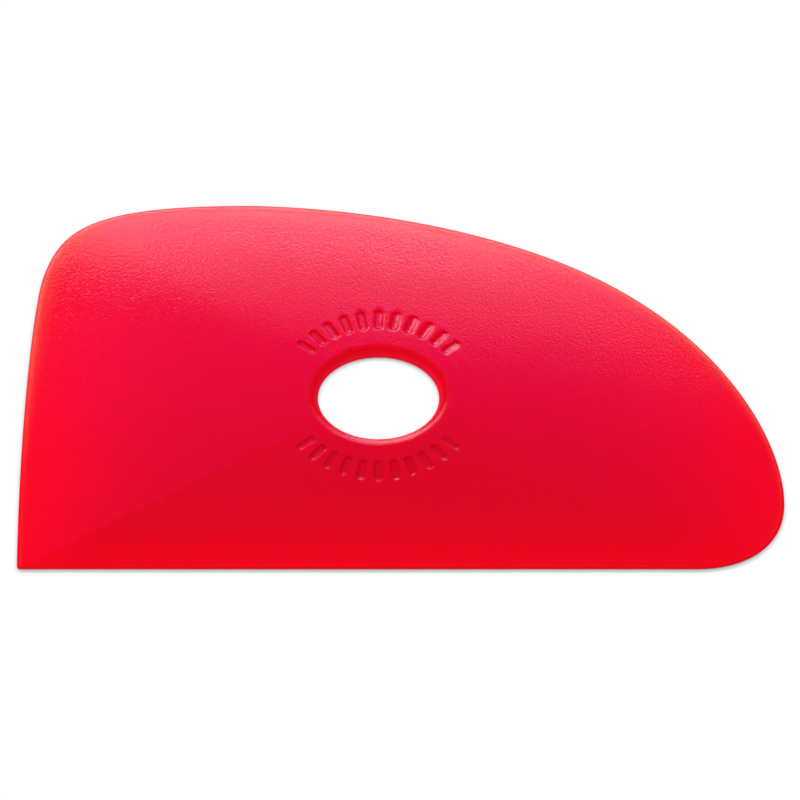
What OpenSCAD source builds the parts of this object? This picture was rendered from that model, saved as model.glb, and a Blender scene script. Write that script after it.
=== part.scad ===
// Pottery rib: one soft cast blade for shaping and smoothing clay on the wheel.
// It lies on its flat back, with the straight edge towards -Y and the nose towards +X.

/* [Outline] */
// Length from the heel edge to the nose tip
rib_len = 140; // [125:1:165]
// Width from the straight edge to the top of the crown
rib_w = 67.1; // [60:0.1:80]
// Lean of the heel edge, measured from the straight edge in degrees
heel_angle = 89.5; // [85:0.5:90]
// Radius of the heel corner, seen from above
heel_r = 0.5; // [0.3:0.1:2]
// Distance of the shoulder from the heel corner
shoulder_x = 4.3; // [3:0.1:8]
// Depth of the shoulder below the top of the crown
shoulder_drop = 13.3; // [11:0.1:18]
// Direction of the outline at the shoulder in degrees
shoulder_angle = 70; // [60:1:78]
// Distance of the top of the crown from the heel corner
crown_x = 41.4; // [36:0.2:50]
// Distance of the brow, where the crown turns down to the nose, behind the nose tip
brow_back = 40.1; // [34:0.1:50]
// Depth of the brow below the top of the crown
brow_drop = 10.8; // [8:0.2:16]
// Downward slope of the outline at the brow in degrees
brow_angle = 22; // [16:1:28]
// Height of the nose tip above the straight edge
nose_y = 12; // [9:0.5:16]
// Distance behind the nose tip at which the straight edge ends
toe_back = 15.7; // [12:0.1:22]

/* [Outline curves] */
// Length over which the outline keeps the heel edge's direction
heel_arm = 28; // [20:1:34]
// Length over which it comes into the shoulder's direction
shoulder_in = 4.5; // [3:0.5:9]
// Length over which it leaves the shoulder's direction
shoulder_out = 9; // [6:0.5:13]
// Length over which it levels out before the crown
crown_in = 29.5; // [16:0.5:34]
// Length over which it stays level after the crown
crown_out = 7.5; // [4:0.5:20]
// Length over which it comes into the brow's slope
brow_in = 26; // [15:1:32]
// Length over which it keeps the brow's slope
brow_out = 31; // [22:1:36]
// Length over which it turns upright before the nose tip
nose_in = 11.5; // [7:0.5:14]
// Length over which it stays upright after the nose tip
nose_out = 9; // [6:0.5:11]
// Length over which it turns into the straight edge
toe_arm = 7; // [5:0.5:11]

/* [Thickness] */
// Thickness at the working edge all round
edge_t = 1; // [0.8:0.1:2]
// Radius that rounds the working edge's upper corner
edge_r = 0.8; // [0.3:0.1:0.8]
// Rise of the domed face from the working edge to the top of the dome
dome_rise = 4.4; // [3:0.1:7]

/* [Finger hole] */
// Length of the hole at the flat back
hole_len = 22.2; // [18:0.1:30]
// Width of the hole at the flat back
hole_w = 15.1; // [12:0.1:22]
// Distance of the hole's centre from the heel corner
hole_x = 65.9; // [56:0.1:80]
// Height of the hole's centre above the straight edge
hole_y = 31.4; // [26:0.1:38]
// Width of the bevel round the hole on the domed face
bevel_w = 1.1; // [0.6:0.1:1.6]
// Slope of the bevel where it leaves the dome in degrees
bevel_from = 6; // [3:1:20]
// Slope of the bevel where it meets the hole's wall in degrees
bevel_to = 25; // [21:1:50]
// How far the hole's wall leans outwards between the rim and the bevel
wall_lean = 0.25; // [0.1:0.05:1]
// Width of the thin rim that stands into the hole at the back
rim_w = 0.45; // [0.1:0.05:0.6]
// Thickness of that rim
rim_t = 0.4; // [0.2:0.1:0.8]

/* [Smoothness] */
// Steps in each curved stretch of the outline
curve_steps = 24; // [12:1:28]
// Steps along the straight edge
straight_steps = 26; // [16:1:30]
// Steps from the working edge to the bevel
dome_steps = 11; // [8:1:14]
// Steps round the edge's upper corner and the heel corner
round_steps = 5; // [3:1:6]
// Steps across the bevel
bevel_steps = 4; // [2:1:5]

/* [Hidden] */
crown_y = rib_w;
brow_x = rib_len - brow_back;
toe_x = rib_len - toe_back;
hole_c = [hole_x, hole_y];
bevel_out = bevel_w + wall_lean + rim_w;
heel_cut = heel_r / tan(heel_angle / 2);

// Unit vector at an angle from +X
function heading(a) = [cos(a), sin(a)];

// Point at t on the cubic curve with ends a and d and control points b and c
function cubic(a, b, c, d, t) =
    pow(1 - t, 3) * a + 3 * pow(1 - t, 2) * t * b + 3 * (1 - t) * t * t * c + t * t * t * d;

// The stretch of outline from a to d, which leaves along b and comes in along c; d is the next one's
function stretch(a, b, c, d) =
    [for (i = [0:curve_steps - 1]) cubic(a, a + b, d - c, d, i / curve_steps)];

// The rounded heel corner, from the straight edge to the heel edge
function heel_corner() =
    [for (i = [0:round_steps])
        let (turn = -90 - (180 - heel_angle) * i / round_steps)
        [heel_cut, heel_r] + heel_r * heading(turn)];

// The same list without its first point
function rest(list) = [for (i = [1:len(list) - 1]) list[i]];

// The straight edge from the toe back to the heel, cut where equal turns about the hole meet it
function straight(from, to) =
    let (turn_a = atan2(from[0] - hole_c[0], hole_c[1]), turn_b = atan2(to[0] - hole_c[0], hole_c[1]))
    [for (i = [0:straight_steps - 1])
        let (turn = turn_a + (turn_b - turn_a) * i / straight_steps)
        [hole_c[0] + hole_c[1] * tan(turn), 0]];

// The outline from the heel edge over the crown and the nose, clockwise, seen from above
heel = [0, 0];
shoulder = [shoulder_x, crown_y - shoulder_drop];
crown = [crown_x, crown_y];
brow = [brow_x, crown_y - brow_drop];
nose = [rib_len, nose_y];
toe = [toe_x, 0];
outline = concat(
    rest(stretch(heel, heel_arm * heading(heel_angle), shoulder_in * heading(shoulder_angle), shoulder)),
    stretch(shoulder, shoulder_out * heading(shoulder_angle), [crown_in, 0], crown),
    stretch(crown, [crown_out, 0], brow_in * heading(-brow_angle), brow),
    stretch(brow, brow_out * heading(-brow_angle), [0, -nose_in], nose),
    stretch(nose, [0, -nose_out], [-toe_arm, 0], toe),
    straight(toe, [heel_cut, 0]),
    heel_corner());
rays = len(outline);

// Direction and length of each ray from the hole's centre to the outline
aim = [for (p = outline) (p - hole_c) / norm(p - hole_c)];
reach = [for (p = outline) norm(p - hole_c)];

// Distance from the hole's centre to its rim, widened all round by out
function rim_reach(ray, out) =
    let (a = hole_len / 2 + out, b = hole_w / 2 + out)
    a * b / norm([b * aim[ray][0], a * aim[ray][1]]);

// Height of the domed face, whose level lines are copies of the outline shrunk about the hole
function dome_z(ray, r) = edge_t + dome_rise * (1 - pow(r / reach[ray], 2));

// Drop of the bevel below its outer line at a share of its width, as it gets steeper inwards
function bevel_drop(share) =
    bevel_w * (tan(bevel_from) * share + (tan(bevel_to) - tan(bevel_from)) * share * share / 2);

// One section of the blade along a ray, as [distance from the hole's centre, height]
function section(ray) =
    let (
        dome_from = reach[ray] - edge_r,
        dome_to = rim_reach(ray, bevel_out),
        edge_top = dome_z(ray, dome_from),
        bevel_top = dome_z(ray, dome_to))
    concat(
        [[reach[ray], 0]],
        [for (i = [0:round_steps - 1])
            let (turn = 90 * i / round_steps)
            [dome_from + edge_r * cos(turn), edge_top - edge_r + edge_r * sin(turn)]],
        [for (i = [0:dome_steps])
            let (r = dome_from + (dome_to - dome_from) * i / dome_steps)
            [r, dome_z(ray, r)]],
        [for (i = [1:bevel_steps])
            let (share = i / bevel_steps)
            [rim_reach(ray, bevel_out - bevel_w * share), bevel_top - bevel_drop(share)]],
        [[rim_reach(ray, rim_w), rim_t], [rim_reach(ray, 0), rim_t], [rim_reach(ray, 0), 0]]);

sections = [for (ray = [0:rays - 1]) section(ray)];
rings = len(sections[0]);

// The blade's skin: the sections side by side, each ring closed on the next and the last on the first
module blade() {
    points = [for (ray = [0:rays - 1]) for (s = sections[ray])
        [hole_c[0] + s[0] * aim[ray][0], hole_c[1] + s[0] * aim[ray][1], s[1]]];
    faces = [for (ray = [0:rays - 1]) for (ring = [0:rings - 1])
        let (
            this = ray * rings,
            next = (ray + 1) % rays * rings,
            up = (ring + 1) % rings)
        each [[this + ring, this + up, next + up], [this + ring, next + up, next + ring]]];
    polyhedron(points, faces);
}

// The whole rib, centred on its outline's box, with its flat back at the bottom
module rib() {
    color("#e6102f") translate([-rib_len / 2, -rib_w / 2, 0]) blade();
}

rib();
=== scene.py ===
import math

import bmesh
import bpy
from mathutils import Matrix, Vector


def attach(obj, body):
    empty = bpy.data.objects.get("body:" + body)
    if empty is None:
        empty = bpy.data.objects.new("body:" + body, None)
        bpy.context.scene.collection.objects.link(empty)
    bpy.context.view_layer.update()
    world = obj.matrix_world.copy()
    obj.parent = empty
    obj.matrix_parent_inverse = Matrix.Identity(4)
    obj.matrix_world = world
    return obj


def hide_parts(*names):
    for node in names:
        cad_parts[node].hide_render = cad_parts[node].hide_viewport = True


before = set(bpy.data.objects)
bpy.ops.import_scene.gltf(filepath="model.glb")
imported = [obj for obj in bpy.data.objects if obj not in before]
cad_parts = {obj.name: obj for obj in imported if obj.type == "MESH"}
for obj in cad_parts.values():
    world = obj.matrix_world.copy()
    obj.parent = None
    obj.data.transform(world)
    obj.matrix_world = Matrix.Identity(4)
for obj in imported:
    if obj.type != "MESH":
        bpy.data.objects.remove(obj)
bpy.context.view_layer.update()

# The rib is one casting of soft polyurethane, poured into an open mould that lies level.
# Its back is the flat face that the mould leaves open, and its other face is a low dome.
# Every level line of the dome is the outline, shrunk towards the finger hole.
MM = 0.001
LENGTH = 140 * MM
WIDTH = 67.1 * MM
SHOULDER = Vector((4.3, 53.8)) * MM
CROWN = Vector((41.4, 67.1)) * MM
BROW = Vector((99.9, 56.3)) * MM
NOSE = Vector((140, 12)) * MM
TOE = Vector((124.3, 0)) * MM
HOLE = Vector((65.9, 31.4)) * MM
HEEL_ANGLE, SHOULDER_ANGLE, BROW_ANGLE = 89.5, 70, -22
HEEL_RADIUS = 0.5 * MM
EDGE_THICKNESS = 1.0 * MM
EDGE_RADIUS = 0.8 * MM
DOME_RISE = 4.4 * MM

# How many millimetres the outline keeps its direction before and after each corner
HEEL_IN, HEEL_OUT = 12, 28
SHOULDER_IN, SHOULDER_OUT = 4.5, 9
CROWN_IN, CROWN_OUT = 29.5, 7.5
BROW_IN, BROW_OUT = 26, 31
NOSE_IN, NOSE_OUT = 11.5, 9
TOE_IN = 7
STRAIGHT_STOPS = (94, 66, 36)
STRAIGHT_ARM = 10


def toward(degrees, length_mm):
    """A step of that length in that direction, seen from above."""
    turn = math.radians(degrees)
    return Vector((math.cos(turn), math.sin(turn))) * length_mm * MM


# Each corner of the outline has a step back to its incoming curve and a step on to the next one
heel_cut = HEEL_RADIUS / math.tan(math.radians(HEEL_ANGLE / 2)) / MM
heel_arc = HEEL_RADIUS * 4 / 3 * math.tan(math.radians((180 - HEEL_ANGLE) / 4)) / MM
outline_corners = [
    (
        toward(HEEL_ANGLE, heel_cut),
        toward(HEEL_ANGLE + 180, heel_arc),
        toward(HEEL_ANGLE, HEEL_OUT - heel_cut),
    ),
    (SHOULDER, toward(SHOULDER_ANGLE + 180, SHOULDER_IN), toward(SHOULDER_ANGLE, SHOULDER_OUT)),
    (CROWN, toward(180, CROWN_IN), toward(0, CROWN_OUT)),
    (BROW, toward(BROW_ANGLE + 180, BROW_IN), toward(BROW_ANGLE, BROW_OUT)),
    (NOSE, toward(90, NOSE_IN), toward(-90, NOSE_OUT)),
    (TOE, toward(0, TOE_IN), toward(180, STRAIGHT_ARM)),
]
for stop in STRAIGHT_STOPS:
    outline_corners.append((toward(0, stop), toward(0, STRAIGHT_ARM), toward(180, STRAIGHT_ARM)))
outline_corners.append((toward(0, heel_cut), toward(0, HEEL_IN), toward(180, heel_arc)))

CURVE_STEPS = 72
SAME_POINT = 0.1 * MM
bpy.ops.object.select_all(action="DESELECT")
bpy.ops.curve.primitive_bezier_curve_add(location=(0, 0, 0))
rib = bpy.context.object
rib.name = "rib_casting"
rib.data.dimensions = "2D"
rib.data.fill_mode = "NONE"
rib.data.resolution_u = CURVE_STEPS
spline = rib.data.splines[0]
spline.bezier_points.add(len(outline_corners) - len(spline.bezier_points))
spline.use_cyclic_u = True
for point, (corner, back, on) in zip(spline.bezier_points, outline_corners):
    point.handle_left_type = "FREE"
    point.handle_right_type = "FREE"
    point.co = corner.to_3d()
    point.handle_left = (corner + back).to_3d()
    point.handle_right = (corner + on).to_3d()
bpy.ops.object.convert(target="MESH")
bpy.ops.object.mode_set(mode="EDIT")
bpy.ops.mesh.select_all(action="SELECT")
bpy.ops.mesh.remove_doubles(threshold=SAME_POINT)
bpy.ops.object.mode_set(mode="OBJECT")

# The reach of each point of the outline from the hole's centre stays with every ring drawn from it
reach = rib.data.attributes.new("reach", "FLOAT", "POINT")
for vert in rib.data.vertices:
    reach.data[vert.index].value = (vert.co.xy - HOLE).length


def dome_height(distance, reach_there):
    """Height of the domed face at a distance from the hole's centre."""
    return EDGE_THICKNESS + DOME_RISE * (1 - (distance / reach_there) ** 2)


HOLE_HALF = Vector((22.2, 15.1)) / 2 * MM
BEVEL_WIDTH = 1.1 * MM
BEVEL_FROM, BEVEL_TO = math.tan(math.radians(6)), math.tan(math.radians(25))
WALL_LEAN = 0.25 * MM
RIM_WIDTH = 0.45 * MM
RIM_THICKNESS = 0.4 * MM
LIP_WIDTH = BEVEL_WIDTH + WALL_LEAN + RIM_WIDTH


def widened_hole(wider):
    """Half the length and half the width of the hole's oval, widened all round."""
    return HOLE_HALF + Vector((wider, wider))


def hole_distance(direction, wider):
    """Distance from the hole's centre to its rim, widened all round."""
    half = widened_hole(wider)
    return half.x * half.y / Vector((half.y * direction.x, half.x * direction.y)).length


def draw_ring(place):
    """Extrudes the selected ring and puts each of its points where place(direction, reach) says."""
    bpy.ops.mesh.extrude_edges_indiv()
    mesh = bmesh.from_edit_mesh(rib.data)
    layer = mesh.verts.layers.float["reach"]
    for vert in mesh.verts:
        if vert.select:
            direction = (vert.co.xy - HOLE).normalized()
            distance, height = place(direction, vert[layer])
            vert.co = (HOLE + direction * distance).to_3d() + Vector((0, 0, height))
    bmesh.update_edit_mesh(rib.data)


bpy.ops.object.mode_set(mode="EDIT")
bpy.ops.mesh.select_mode(type="EDGE")
bpy.ops.mesh.select_all(action="SELECT")

# The working edge: a low upright wall, rounded over on the domed side
ROUND_STEPS = 8
for step in range(ROUND_STEPS + 1):
    turn = math.pi / 2 * step / ROUND_STEPS

    def place(direction, reach_there, turn=turn):
        inner = reach_there - EDGE_RADIUS
        top = dome_height(inner, reach_there)
        return inner + EDGE_RADIUS * math.cos(turn), top - EDGE_RADIUS * (1 - math.sin(turn))

    draw_ring(place)

# Two arcs of short grooves round the hole give the fingers a grip
GRIP_FROM, GRIP_TO = 4.6 * MM, 8.0 * MM
GRIP_WIDTH = 1.1 * MM
GRIP_DEPTH = 0.3 * MM
GRIP_SOFTNESS = 0.2 * MM
GRIP_PITCH = math.radians(10)
GRIP_COUNT = 11
grip_middle = (GRIP_FROM + GRIP_TO) / 2
grip_half = (GRIP_TO - GRIP_FROM - GRIP_WIDTH) / 2


def grip_drop(direction, distance):
    """How far the nearest groove takes the skin down at a distance from the hole's centre."""
    out = distance - hole_distance(direction, 0)
    if not GRIP_FROM - GRIP_WIDTH < out < GRIP_TO + GRIP_WIDTH:
        return 0
    half = widened_hole(grip_middle)
    turn = math.atan2(abs(direction.y) / half.y, direction.x / half.x) - math.pi / 2
    limit = GRIP_COUNT // 2
    place_in_arc = max(-limit, min(limit, round(turn / GRIP_PITCH)))
    across = (turn - place_in_arc * GRIP_PITCH) * distance
    along = max(0, abs(out - grip_middle) - grip_half)
    inside = GRIP_WIDTH / 2 - math.hypot(across, along)
    share = max(0, min(1, inside / GRIP_SOFTNESS / 2 + 0.5))
    return GRIP_DEPTH * share * share * (3 - 2 * share)


# The dome, up to the lip of the hole, with its closest rings where the grooves are
DOME_STEPS = 26
GRIP_STEPS = 38
for step in range(1, DOME_STEPS + GRIP_STEPS + 1):

    def place(direction, reach_there, step=step):
        outer = reach_there - EDGE_RADIUS
        middle = hole_distance(direction, GRIP_TO + GRIP_SOFTNESS)
        inner = hole_distance(direction, LIP_WIDTH)
        if step <= DOME_STEPS:
            distance = outer + (middle - outer) * step / DOME_STEPS
        else:
            distance = middle + (inner - middle) * (step - DOME_STEPS) / GRIP_STEPS
        return distance, dome_height(distance, reach_there) - grip_drop(direction, distance)

    draw_ring(place)

# The lip is a bevel that gets steeper towards the hole's wall
BEVEL_STEPS = 12
drop = 0
for step in range(1, BEVEL_STEPS + 1):
    share = step / BEVEL_STEPS
    slope = BEVEL_FROM + (BEVEL_TO - BEVEL_FROM) * (share - 0.5 / BEVEL_STEPS)
    drop += slope * BEVEL_WIDTH / BEVEL_STEPS

    def place(direction, reach_there, share=share, drop=drop):
        top = dome_height(hole_distance(direction, LIP_WIDTH), reach_there)
        return hole_distance(direction, LIP_WIDTH - BEVEL_WIDTH * share), top - drop

    draw_ring(place)

# The wall leans in a little, down to just above a thin rim that stands into the hole at the back
WALL_STEPS = 6
WALL_FOOT = RIM_THICKNESS + 0.1 * MM
for step in range(1, WALL_STEPS + 1):
    share = step / WALL_STEPS

    def place(direction, reach_there, share=share):
        top = dome_height(hole_distance(direction, LIP_WIDTH), reach_there) - drop
        wider = RIM_WIDTH + WALL_LEAN * (1 - share)
        return hole_distance(direction, wider), top + (WALL_FOOT - top) * share

    draw_ring(place)

# The rim's rounded section, as shares of its width and its thickness
RIM_SECTION = [(0.9, 1.05), (0.75, 1), (0.15, 1), (0.04, 0.96), (0, 0.85), (0, 0)]
for across, up in RIM_SECTION:

    def place(direction, reach_there, across=across, up=up):
        return hole_distance(direction, RIM_WIDTH * across), RIM_THICKNESS * up

    draw_ring(place)

# The flat back joins the hole's rim to the foot of the working edge
SHARPEST_SMOOTH = math.radians(35)
bpy.ops.mesh.select_all(action="DESELECT")
bpy.ops.mesh.select_non_manifold()
bpy.ops.mesh.bridge_edge_loops()
bpy.ops.mesh.select_all(action="SELECT")
bpy.ops.mesh.normals_make_consistent(inside=False)
bpy.ops.object.mode_set(mode="OBJECT")
rib.location = (-LENGTH / 2, -WIDTH / 2, 0)
bpy.ops.object.transform_apply(location=True, rotation=False, scale=False)
bpy.ops.object.shade_smooth_by_angle(angle=SHARPEST_SMOOTH)
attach(rib, "root")
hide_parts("rib")

# The polymer is clear enough to carry light, and its satin skin has the fine pebble of the mould
THIN_RED, THIN_RED_AT_CROWN = (0.88, 0.003, 0.016), (0.86, 0.003, 0.012)
DEEP_RED, DEEP_RED_AT_CROWN = (0.675, 0.003, 0.018), (0.76, 0.003, 0.012)
PAINTED_CROWN_LIGHT = (0, 0, 0.095)
PAINTED_EDGE_LIGHT, PAINTED_EDGE_LIGHT_AT_CROWN = (0.1, 0, 0), (0.1, 0.085, 0.075)
PAINTED_GLOW_TINT = (0, 0.068, 0.016)
PAINTED_LIP_SHADE = (0.9, 1, 1)
PAINTED_LIT_WALL_RED = (1, 0.004, 0.024)
PAINTED_LIT_RIM_RED = (1, 0.006, 0.045)
BLACK, PAINTED_CARRIED_GLOW = (0, 0, 0), (0.2, 0.003, 0.01)
SKIN_ROUGHNESS = 0.135
SCATTER_RADIUS = (1.0, 0.06, 0.06)
SCATTER_SCALE = 1.5 * MM
PEBBLES_PER_METRE = 2900
PEBBLE_HEIGHT = 0.035 * MM

# Where each effect of place comes in. Lean is 1 on level skin and 0 on an upright face. Facing
# is 2 on level skin and more where it turns to the crown. Depth with its painted shade, and body,
# are 1 at the middle.
DEEP_BODY = (-0.15, 0.85)
MIDDLE_BODY = (0.5, 0.7)
LIP_LEAN, BEVEL_LEAN, STEEP_LEAN = (0.998, 0.985), (0.985, 0.94), (0.78, 0.4)
LIP_REACH = (1.03, 1)
CROWN_FACING = (2.06, 2.14)
CROWN_LIGHT_FACING, CROWN_LIGHT_START = (1.74, 2.74), (1.7, 2)
PAINTED_GLOW_FACING = (1.74, 2)
RIM_FACING = (0, 0.2)
WALL_SHARE = 0.4

polymer = bpy.data.materials.new("red_polyurethane")
polymer.use_nodes = True
nodes = polymer.node_tree.nodes
links = polymer.node_tree.links
skin = nodes["Principled BSDF"]
skin.inputs["Subsurface Weight"].default_value = 1.0
skin.inputs["Subsurface Radius"].default_value = SCATTER_RADIUS
skin.inputs["Subsurface Scale"].default_value = SCATTER_SCALE
skin.inputs["Roughness"].default_value = SKIN_ROUGHNESS
skin.inputs["Emission Strength"].default_value = 1.0


def reckon(operation, *values):
    """A Math node on the given outputs or numbers, and its own output."""
    node = nodes.new("ShaderNodeMath")
    node.operation = operation
    for socket, value in zip(node.inputs, values):
        if isinstance(value, (int, float)):
            socket.default_value = value
        else:
            links.new(value, socket)
    return node.outputs["Value"]


def times(first, *others):
    """The product of all the given outputs or numbers."""
    for other in others:
        first = reckon("MULTIPLY", first, other)
    return first


def left_of_one(value):
    """What is left when the value is taken from 1."""
    return reckon("SUBTRACT", 1.0, value)


def reckon_vector(operation, first, second=(0, 0, 0)):
    """A Vector Math node on the given output and numbers, and its own output."""
    node = nodes.new("ShaderNodeVectorMath")
    node.operation = operation
    links.new(first, node.inputs[0])
    node.inputs[1].default_value = second
    return node.outputs["Value" if operation in ("LENGTH", "DOT_PRODUCT") else "Vector"]


def ramp(value, low, high, bottom=0.0, top=1.0, smooth=True):
    """The value's way from low to high, as a number from bottom to top."""
    node = nodes.new("ShaderNodeMapRange")
    node.interpolation_type = "SMOOTHSTEP" if smooth else "LINEAR"
    links.new(value, node.inputs["Value"])
    node.inputs["From Min"].default_value = low
    node.inputs["From Max"].default_value = high
    node.inputs["To Min"].default_value = bottom
    node.inputs["To Max"].default_value = top
    return node.outputs["Result"]


def blend_colours(share, first, second, mode="MIX"):
    """The first colour turning into the second one, or mixed with it in another way.

    Each of the two is a colour or an output.
    """
    node = nodes.new("ShaderNodeMix")
    node.data_type = "RGBA"
    node.blend_type = mode
    links.new(share, node.inputs[0])
    for socket, value in ((node.inputs[6], first), (node.inputs[7], second)):
        if isinstance(value, tuple):
            socket.default_value = (*value, 1)
        else:
            links.new(value, socket)
    return node.outputs[2]


# How thick the blade is under each point of its skin, from 0 at the edge to 1 at the middle
where = nodes.new("ShaderNodeTexCoord")
hole_place = (HOLE.x - LENGTH / 2, HOLE.y - WIDTH / 2, 0)
from_hole = reckon_vector("SUBTRACT", where.outputs["Object"], hole_place)
distance = reckon_vector("LENGTH", reckon_vector("MULTIPLY", from_hole, (1, 1, 0)))
outline_reach = nodes.new("ShaderNodeAttribute")
outline_reach.attribute_name = "reach"
ratio = reckon("DIVIDE", distance, outline_reach.outputs["Fac"])
body = left_of_one(times(ratio, ratio))
inset = reckon("SUBTRACT", outline_reach.outputs["Fac"], distance)
inner = ramp(body, *MIDDLE_BODY)

# Where the skin is, how far it leans from level, and how far it turns to the crown (2 is level)
place_on = nodes.new("ShaderNodeSeparateXYZ")
links.new(where.outputs["Object"], place_on.inputs["Vector"])
crownward, height = place_on.outputs["Y"], place_on.outputs["Z"]
upright = nodes.new("ShaderNodeSeparateXYZ")
links.new(where.outputs["Normal"], upright.inputs["Vector"])
lean = reckon("ABSOLUTE", upright.outputs["Z"])
facing = reckon_vector("DOT_PRODUCT", where.outputs["Normal"], (0, 1, 2))
crown_side = ramp(crownward, -20 * MM, 18 * MM)
to_crown = ramp(facing, *CROWN_FACING)

# The polymer is a deeper red where it is thick. Its deep red is paler on the crown side, a painted
# light from the crown lamps.
thin_polymer = blend_colours(crown_side, THIN_RED, THIN_RED_AT_CROWN)
deep_polymer = blend_colours(crown_side, DEEP_RED, DEEP_RED_AT_CROWN)
# Painted shade: the body counts up to a fifth thicker towards the straight edge, so the red is
# darker there.
depth_and_shade = times(body, ramp(crownward, -18 * MM, -28 * MM, 1, 1.2))
colour = blend_colours(ramp(depth_and_shade, *DEEP_BODY), thin_polymer, deep_polymer)

# Painted light: the skin is pinker where it faces up and towards the crown lamps, but not on the
# lip of the hole
lip_half = widened_hole(LIP_WIDTH)
lips_away = reckon_vector("MULTIPLY", from_hole, (1 / lip_half.x, 1 / lip_half.y, 0))
lips_away = reckon_vector("LENGTH", lips_away)
on_lip = times(ramp(lean, *LIP_LEAN), ramp(lips_away, *LIP_REACH), left_of_one(to_crown))
painted_crown_light = times(
    ramp(facing, *CROWN_LIGHT_FACING, smooth=False),
    ramp(facing, *CROWN_LIGHT_START),
    ramp(crownward, -20 * MM, 8 * MM, 0.4, 1.5),
    reckon("MAXIMUM", to_crown, ramp(body, 0, 0.5, 0.5, 1)),
    left_of_one(on_lip),
)
colour = blend_colours(painted_crown_light, colour, PAINTED_CROWN_LIGHT, "ADD")

# Painted light along the edges: an orange rim where light comes through the thin polymer, paler
# towards the crown as a painted sheen, and inside it a painted orange glow that is wider towards
# the crown
painted_edge_light = ramp(inset, 1.4 * MM, 0.2 * MM)
painted_edge_colour = blend_colours(crown_side, PAINTED_EDGE_LIGHT, PAINTED_EDGE_LIGHT_AT_CROWN)
colour = blend_colours(painted_edge_light, colour, painted_edge_colour, "ADD")
# The painted glow lies only on edges that face up or towards the crown lamps
painted_glow_width = ramp(crownward, -20 * MM, 20 * MM, 1.5 * MM, 4.2 * MM)
painted_edge_glow = reckon("MAXIMUM", left_of_one(reckon("DIVIDE", inset, painted_glow_width)), 0.0)
painted_edge_glow = times(
    painted_edge_glow,
    painted_edge_glow,
    ramp(facing, *PAINTED_GLOW_FACING),
    ramp(crownward, -30 * MM, 20 * MM, 0.5, 1),
)
colour = blend_colours(painted_edge_glow, colour, PAINTED_GLOW_TINT, "ADD")

# Painted light and shade: the bevel round the hole is shaded darker, steep faces get a brighter
# red, the thin rim a pinker one, and walls and rim a faint painted glow for light carried through
# the polymer
bevelled = times(ramp(lean, *BEVEL_LEAN), inner)
colour = blend_colours(bevelled, colour, PAINTED_LIP_SHADE, "MULTIPLY")
steep = ramp(lean, *STEEP_LEAN)
colour = blend_colours(steep, colour, PAINTED_LIT_WALL_RED)
low = ramp(height, 1.2 * MM, 0.5 * MM)
low = times(low, inner, ramp(upright.outputs["Z"], *RIM_FACING))
colour = blend_colours(low, colour, PAINTED_LIT_RIM_RED)
links.new(colour, skin.inputs["Base Color"])
painted_glow_mask = reckon("MAXIMUM", low, times(steep, inner, WALL_SHARE))
links.new(blend_colours(painted_glow_mask, BLACK, PAINTED_CARRIED_GLOW), skin.inputs["Emission Color"])

# The pebble is a noise of one size
pebble = nodes.new("ShaderNodeTexNoise")
pebble.inputs["Scale"].default_value = PEBBLES_PER_METRE
pebble.inputs["Detail"].default_value = 0
links.new(where.outputs["Object"], pebble.inputs["Vector"])
bump = nodes.new("ShaderNodeBump")
bump.inputs["Distance"].default_value = PEBBLE_HEIGHT
links.new(pebble.outputs["Fac"], bump.inputs["Height"])
links.new(bump.outputs["Normal"], skin.inputs["Normal"])
rib.data.materials.append(polymer)

# The floor is a plain white sweep, which the camera sees as white with a painted shadow of the rib
# on it, from an occlusion test.
# It lies a hair below the rib. The painted shadow falls from the crown side, from halfway up.
FLOOR_SIZE = 6
FLOOR_DROP = 0.1 * MM
PAPER_WHITE = (0.85, 0.85, 0.85, 1)
SHADOW_REACH = 1.0 * MM
SHADOW_SAMPLES = 16
LAMP_SIDE = 0.7
OPEN_FLOOR = 0.92
bpy.ops.object.select_all(action="DESELECT")
bpy.ops.mesh.primitive_plane_add(size=FLOOR_SIZE, location=(0, 0, -FLOOR_DROP))
floor = bpy.context.object
floor.name = "floor"
floor.visible_glossy = False
paper = bpy.data.materials.new("white_paper")
paper.use_nodes = True
nodes = paper.node_tree.nodes
links = paper.node_tree.links
diffuse = nodes["Principled BSDF"]
diffuse.inputs["Base Color"].default_value = PAPER_WHITE
diffuse.inputs["Specular IOR Level"].default_value = 0
contact = nodes.new("ShaderNodeAmbientOcclusion")
contact.samples = SHADOW_SAMPLES
contact.inputs["Distance"].default_value = SHADOW_REACH
toward_lamp = nodes.new("ShaderNodeCombineXYZ")
toward_lamp.inputs["Y"].default_value = LAMP_SIDE
toward_lamp.inputs["Z"].default_value = LAMP_SIDE
links.new(toward_lamp.outputs["Vector"], contact.inputs["Normal"])
shadow = nodes.new("ShaderNodeMapRange")
shadow.inputs["From Max"].default_value = OPEN_FLOOR
links.new(contact.outputs["AO"], shadow.inputs["Value"])
glow = nodes.new("ShaderNodeEmission")
links.new(shadow.outputs["Result"], glow.inputs["Strength"])
ray = nodes.new("ShaderNodeLightPath")
seen = reckon("MAXIMUM", ray.outputs["Is Camera Ray"], ray.outputs["Is Transmission Ray"])
choice = nodes.new("ShaderNodeMixShader")
links.new(seen, choice.inputs["Fac"])
links.new(diffuse.outputs["BSDF"], choice.inputs[1])
links.new(glow.outputs["Emission"], choice.inputs[2])
links.new(choice.outputs["Shader"], nodes["Material Output"].inputs["Surface"])
floor.data.materials.append(paper)

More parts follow.
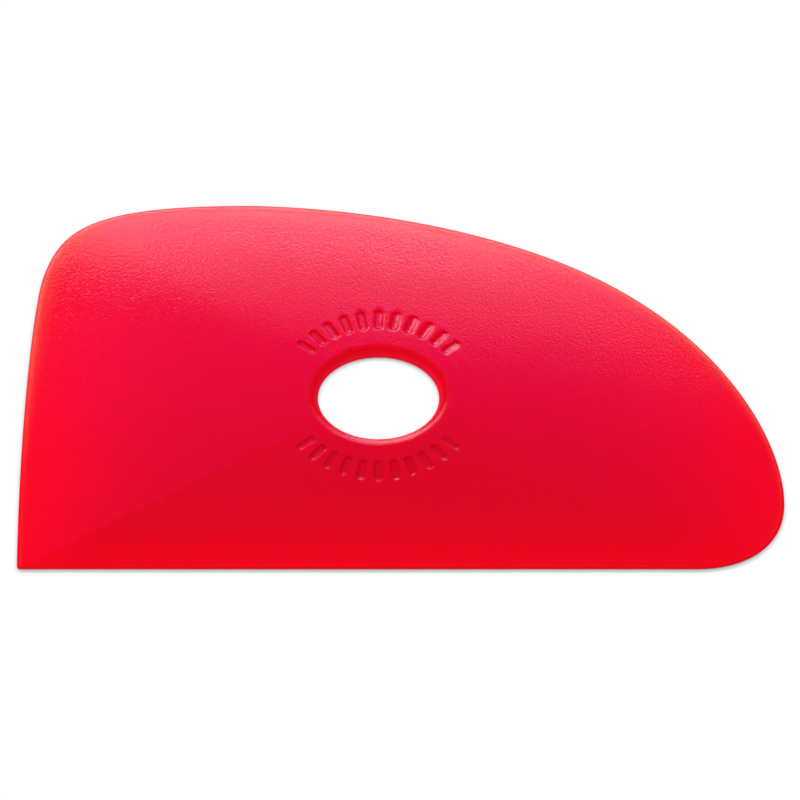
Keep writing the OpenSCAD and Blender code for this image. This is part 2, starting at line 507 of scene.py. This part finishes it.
# The camera looks down on the rib through a long lens. It is tipped a little towards the
# straight edge, and aimed just off the rib's middle.
PIXEL = 0.18318 * MM
FRAME_PIXELS = 800
LENS = 200
SENSOR = 36
TILT = math.radians(7.5)
AIM_PIXELS = Vector((-0.91, -13.3, 0))
camera_data = bpy.data.cameras.new("camera")
camera_data.lens = LENS
camera_data.sensor_width = SENSOR
camera = bpy.data.objects.new("camera", camera_data)
bpy.context.collection.objects.link(camera)
far = FRAME_PIXELS * PIXEL * LENS / SENSOR
camera.location = AIM_PIXELS * PIXEL + Vector((0, -math.sin(TILT), math.cos(TILT))) * far
camera.rotation_euler = (TILT, 0, 0)
bpy.context.scene.camera = camera


def softbox(name, turn, tip, size, power):
    """A lamp a metre off that faces the rib, tipped from upright and turned from the crown side.

    Its angles are in degrees, its size in metres and its power in watts.
    """
    lamp_data = bpy.data.lights.new(name, "AREA")
    lamp_data.shape = "RECTANGLE"
    lamp_data.size, lamp_data.size_y = size
    lamp_data.energy = power
    lamp = bpy.data.objects.new(name, lamp_data)
    bpy.context.collection.objects.link(lamp)
    turn, tip = math.radians(turn), math.radians(tip)
    lamp.location = (math.sin(tip) * math.sin(turn), math.sin(tip) * math.cos(turn), math.cos(tip))
    lamp.rotation_euler = (-tip, 0, -turn)
    return lamp


# The studio: three softboxes one above the other on the crown side, whose sheen fades down the
# dome, two at the heel, and a white tent all round that lights the rib but stays out of its gloss
softbox("crown_softbox", -4, 47, (0.59, 0.37), 2.6)
softbox("crown_fill", 1, 36.5, (0.9, 0.26), 0.6)
softbox("crown_fade", -6.5, 27.5, (1.05, 0.25), 0.54)
softbox("heel_softbox", -35, 37, (0.34, 0.32), 0.74)
softbox("heel_fill", -90, 60, (0.5, 0.5), 2.2).visible_glossy = False

TENT_STRENGTH = 0.765
world = bpy.data.worlds.new("studio")
bpy.context.scene.world = world
world.use_nodes = True
world.cycles_visibility.glossy = False
nodes = world.node_tree.nodes
links = world.node_tree.links
tent = nodes["Background"]
tent.inputs["Color"].default_value = (1, 1, 1, 1)
ray = nodes.new("ShaderNodeLightPath")
shade = nodes.new("ShaderNodeMapRange")
shade.inputs["To Min"].default_value = TENT_STRENGTH
links.new(ray.outputs["Is Camera Ray"], shade.inputs["Value"])
links.new(shade.outputs["Result"], tent.inputs["Strength"])
bpy.context.scene.view_settings.view_transform = "Standard"
